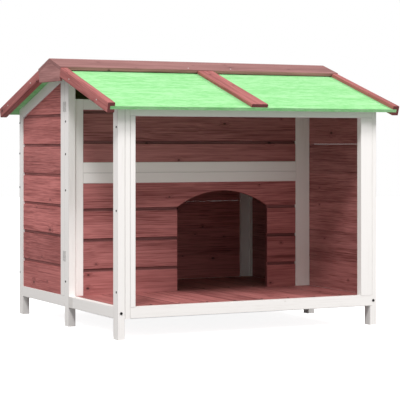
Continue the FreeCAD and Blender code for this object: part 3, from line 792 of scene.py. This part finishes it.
# %% [markdown]
# ## Screws
#
# The frames are held by wood screws, and so is the roof trim. Each head is a flat disc that stands
# just proud of the timber, with a small socket in its middle. One head is modelled with bmesh
# operators: a short cone whose outer face is inset and pushed in. It is then made at every place
# in the group. The screws of the side walls are black, and those of the roof trim are zinc.

# %% Screw helper
SCREW_SIDES = 20
HEAD_DEPTH = 2.0 * MM
HEAD_PROUD = 0.9 * MM
HEAD_TAPER = 0.92
SOCKET_DEPTH = 0.6 * MM
SOCKET_SHARE = 0.45


def screw_heads(name, places, outward, finish, radius):
    """A group of screw heads in one face. outward is the direction that the face looks in."""
    direction = Vector(outward).normalized()
    turn = Vector((0, 0, 1)).rotation_difference(direction).to_matrix().to_4x4()
    mesh = bmesh.new()
    for place in places:
        centre = Vector(place) + direction * (HEAD_PROUD - HEAD_DEPTH / 2)
        made = bmesh.ops.create_cone(
            mesh, cap_ends=True, segments=SCREW_SIDES, radius1=radius,
            radius2=radius * HEAD_TAPER, depth=HEAD_DEPTH,
            matrix=Matrix.Translation(centre) @ turn,
        )
        ring = set(made["verts"])
        face = max(
            (f for f in mesh.faces if set(f.verts) <= ring and len(f.verts) == SCREW_SIDES),
            key=lambda f: f.calc_center_median().dot(direction),
        )
        bmesh.ops.inset_region(mesh, faces=[face], thickness=radius * (1 - SOCKET_SHARE))
        bmesh.ops.translate(mesh, verts=face.verts, vec=direction * -SOCKET_DEPTH)
    bmesh.ops.recalc_face_normals(mesh, faces=mesh.faces)
    data = bpy.data.meshes.new(name)
    mesh.to_mesh(data)
    mesh.free()
    data.materials.append(finishes[finish])
    piece = bpy.data.objects.new(name, data)
    bpy.context.scene.collection.objects.link(piece)
    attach(piece, "root")
    print(name, len(places), "heads")


# %% [markdown]
# ## Screws of the side walls
#
# Black screws go through the posts into the frames of the panels, in three upright lines on each
# side. The lines at the rear and at the middle post have the same four heights. The one at the
# front has three.

# %% Screws of the side walls
WALL_SCREW_RADIUS = 4.1 * MM
POST_SCREWS = (164 * MM, 499 * MM, 632 * MM, 752 * MM)
FRONT_SCREWS = (163 * MM, 441 * MM, 727 * MM)
REAR_LINE_INSET = 6 * MM
LINE_INSET = 10 * MM

rear_line = rear_face - REAR_LINE_INSET
middle_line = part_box("mid_left_post")[1][1] - LINE_INSET
front_line = front_face + LINE_INSET
side_places = [(line, height) for line in (rear_line, middle_line) for height in POST_SCREWS]
side_places += [(front_line, height) for height in FRONT_SCREWS]
for side, face, outward in (("left", left_face, -1), ("right", right_face, 1)):
    heads = [(face, depth, height) for depth, height in side_places]
    screw_heads(
        f"{side}_wall_screws", heads, (outward, 0, 0),
        "black_steel", WALL_SCREW_RADIUS,
    )

# %% [markdown]
# ## Screws of the floor
#
# Black screws hold the planks down in three rows: at the front, just inside the doorway and at the
# rear. Each one is near the left edge of its plank. From the porch the front row shows as dark
# dots behind the front rail.

# %% Screws of the floor
FLOOR_SCREW_RADIUS = 4.5 * MM
FLOOR_SCREW_INSET = 11 * MM
FLOOR_SCREW_ROWS = (-431 * MM, 33 * MM, 440 * MM)
PLANKS = 9

plank_lefts = [floor_left + plank * PLANK_PITCH for plank in range(PLANKS)]
heads = [
    (left + FLOOR_SCREW_INSET, row, floor_level)
    for left in plank_lefts for row in FLOOR_SCREW_ROWS
]
screw_heads(
    "floor_screws", heads, (0, 0, 1), "black_steel", FLOOR_SCREW_RADIUS
)

# %% [markdown]
# ## Screws of the roof trim
#
# Each barge board is screwed into the edge of the roof board, so its screws lie in the middle of
# the roof board's thickness. The ridge boards have two screws each, near their lower edge.

# %% Screws of the roof trim
TRIM_SCREW_RADIUS = 2.6 * MM
ROOF_BOARD = 11 * MM
RIDGE_BOARD_TOP = 26.9 * MM
BARGE_SCREWS = (202 * MM, 464 * MM)
CAP_SCREW_ROW = 89 * MM
CAP_SCREWS = (-62 * MM, 117 * MM)

ridge_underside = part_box("front_roof_board")[1][2] - ROOF_BOARD / math.cos(ROOF_PITCH)


def on_slope(side, along, above):
    """The Y and Z of a point on a slope, along it from the ridge and above its underside."""
    level = along * math.cos(ROOF_PITCH) + above * math.sin(ROOF_PITCH)
    height = above * math.cos(ROOF_PITCH) - along * math.sin(ROOF_PITCH)
    return side * level, ridge_underside + height


barge_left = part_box("front_left_barge_board")[0][0]
barge_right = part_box("front_right_barge_board")[1][0]
for side, face, outward in (("left", barge_left, -1), ("right", barge_right, 1)):
    heads = [
        (face, *on_slope(slope, along, ROOF_BOARD / 2))
        for slope in (-1, 1) for along in BARGE_SCREWS
    ]
    screw_heads(
        f"{side}_barge_screws", heads, (outward, 0, 0),
        "bright_zinc", TRIM_SCREW_RADIUS,
    )
for side, slope in (("front", -1), ("rear", 1)):
    heads = [(x, *on_slope(slope, CAP_SCREW_ROW, RIDGE_BOARD_TOP)) for x in CAP_SCREWS]
    upward = (0, slope * math.sin(ROOF_PITCH), math.cos(ROOF_PITCH))
    screw_heads(
        f"{side}_ridge_screws", heads, upward,
        "bright_zinc", TRIM_SCREW_RADIUS,
    )

# %% [markdown]
# ## Painted shade in the joints
#
# The boards of a wall lie a hair apart. A thin box in each of the lower joints of the right wall
# keeps the light out, so that only the joint at eye level lets the light through. The boxes are
# painted shade: they are the colour of the boards and stand for no part of the house. They lie
# inside the wall, behind the faces of the boards.

# %% Shade the lower joints of the right wall
JOINT = 0.4 * MM
CLOSED_JOINTS = 4
SHADE_BOX_BACK = 3 * MM

wall_low, wall_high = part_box("right_porch_boards")
# Boxes of painted shade in the lower joints.
shade_boxes = bmesh.new()
for joint in range(1, CLOSED_JOINTS + 1):
    joint_top = floor_level + joint * COURSE_HEIGHT + JOINT
    low = Vector((wall_low[0] + SHADE_BOX_BACK, wall_low[1], joint_top - JOINT))
    high = Vector((wall_low[0] + 2 * SHADE_BOX_BACK, wall_high[1], joint_top))
    place = Matrix.Translation((low + high) / 2) @ Matrix.Diagonal((*(high - low), 1.0))
    bmesh.ops.create_cube(shade_boxes, size=1.0, matrix=place)
joint_data = bpy.data.meshes.new("shade_in_joints")
shade_boxes.to_mesh(joint_data)
shade_boxes.free()
joint_data.materials.append(finishes["right_wall"])
joint_shade = bpy.data.objects.new("shade_in_joints", joint_data)
bpy.context.scene.collection.objects.link(joint_shade)
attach(joint_shade, "root")
print("closed joints:", CLOSED_JOINTS)

# %% [markdown]
# ## Camera
#
# The view is the one that a solution of the photograph's edges gives. The lens is 6 m away and
# turned 26.7 degrees from the front. It is level with the lower board of the upper panel, and with
# the one joint of the right wall that lets light through. The camera looks straight ahead, so
# upright posts stay upright, and a vertical shift of the lens brings the house into the frame.

# %% Camera
FRAME_WIDTH = 400
FOCAL_PIXELS = 1567.9
HORIZON_ROW = 144.63
SENSOR_WIDTH = 36.0
VIEW_TURN = math.radians(26.7)
CAMERA_PLACE = (-2.671, -5.378, 0.667)

camera_data = bpy.data.cameras.new("camera")
camera_data.sensor_width = SENSOR_WIDTH
camera_data.lens = SENSOR_WIDTH * FOCAL_PIXELS / FRAME_WIDTH
camera_data.shift_y = (HORIZON_ROW - FRAME_WIDTH / 2) / FRAME_WIDTH
camera = bpy.data.objects.new("camera", camera_data)
camera.location = CAMERA_PLACE
camera.rotation_euler = (math.pi / 2, 0.0, -VIEW_TURN)
bpy.context.scene.collection.objects.link(camera)
bpy.context.scene.camera = camera
print("lens:", round(camera_data.lens, 1), "mm, shift:", round(camera_data.shift_y, 3))

# %% [markdown]
# ## Floor
#
# The house stands on a plain pale floor. The floor is seen as nearly white, but what it sends up
# to the house is less, as in a studio where only a small part of the floor is lit. A Light Path
# node tells the two apart.

# %% Floor
FLOOR_GLOW = 0.9
FLOOR_RADIUS = 14.0
FLOOR_SIDES = 96
FLOOR_ROUGHNESS = 0.9
WHITE = linear("#FFFFFF")
FLOOR_AS_SEEN = linear("#F4F4F4")
FLOOR_AS_LIT = linear("#989898")

floor_mesh = bmesh.new()
bmesh.ops.create_circle(floor_mesh, cap_ends=True, segments=FLOOR_SIDES, radius=FLOOR_RADIUS)
floor_data = bpy.data.meshes.new("studio_floor")
floor_mesh.to_mesh(floor_data)
floor_mesh.free()
studio_floor = bpy.data.objects.new("studio_floor", floor_data)
bpy.context.scene.collection.objects.link(studio_floor)
floor_material, floor_tree = new_material("pale_floor")
matt, pale = (
    add(floor_tree, "BsdfPrincipled", {"Base Color": colour, "Roughness": FLOOR_ROUGHNESS})
    for colour in (FLOOR_AS_LIT, FLOOR_AS_SEEN)
)
glow = add(floor_tree, "Emission", {"Color": WHITE, "Strength": FLOOR_GLOW})
glowing = add(floor_tree, "AddShader", [pale, glow])
is_camera_ray = add(floor_tree, "LightPath").outputs["Is Camera Ray"]
seen = add(floor_tree, "MixShader", [is_camera_ray, matt, glowing])
add(floor_tree, "OutputMaterial", {"Surface": seen})
floor_data.materials.append(floor_material)
print("floor:", 2 * FLOOR_RADIUS, "m across")

# %% [markdown]
# ## Light
#
# The studio is white. A soft light comes from all round, and three lamps shape it. The key lamp is
# high at the front left and lights the roof, the posts and the left wall. A weaker one at the left
# lights the sides of the posts. A low one at the front right reaches the partition under the roof.
# The rest of the porch falls into shade.

# %% Light
SKY_STRENGTH = 0.53
LAMP_DISTANCE = 9.0
LAMP_SIZE = 1.8

# Each row: the lamp's name, its turn from the front to the left, its height and its power.
LAMPS = (("key", 40, 50, 380.0), ("left", 85, 40, 105.0), ("right", -50, 30, 371.0))

world = bpy.data.worlds.new("studio")
bpy.context.scene.world = world
world.use_nodes = True
sky = world.node_tree.nodes["Background"]
sky.inputs["Color"].default_value = WHITE
sky_seen = add(world.node_tree, "LightPath").outputs["Is Camera Ray"]
strength = add(
    world.node_tree, "Mix", {FACTOR: sky_seen, FIRST_NUMBER: SKY_STRENGTH, SECOND_NUMBER: 1.0},
    data_type="FLOAT",
)
world.node_tree.links.new(strength.outputs[0], sky.inputs["Strength"])


def soft_lamp(name, turn, height, power):
    """A square lamp that points at the house and isn't seen itself."""
    data = bpy.data.lights.new(name, "AREA")
    data.shape = "SQUARE"
    data.size = LAMP_SIZE
    data.energy = power
    lamp = bpy.data.objects.new(name, data)
    turn, height = math.radians(turn), math.radians(height)
    level = math.cos(height)
    place = Vector((-math.sin(turn) * level, -math.cos(turn) * level, math.sin(height)))
    lamp.location = place * LAMP_DISTANCE
    lamp.rotation_euler = (-place).to_track_quat("-Z", "Y").to_euler()
    lamp.visible_camera = False
    bpy.context.scene.collection.objects.link(lamp)


for row in LAMPS:
    soft_lamp(*row)
bpy.context.scene.view_settings.view_transform = "Standard"
print("lamps:", len(LAMPS))
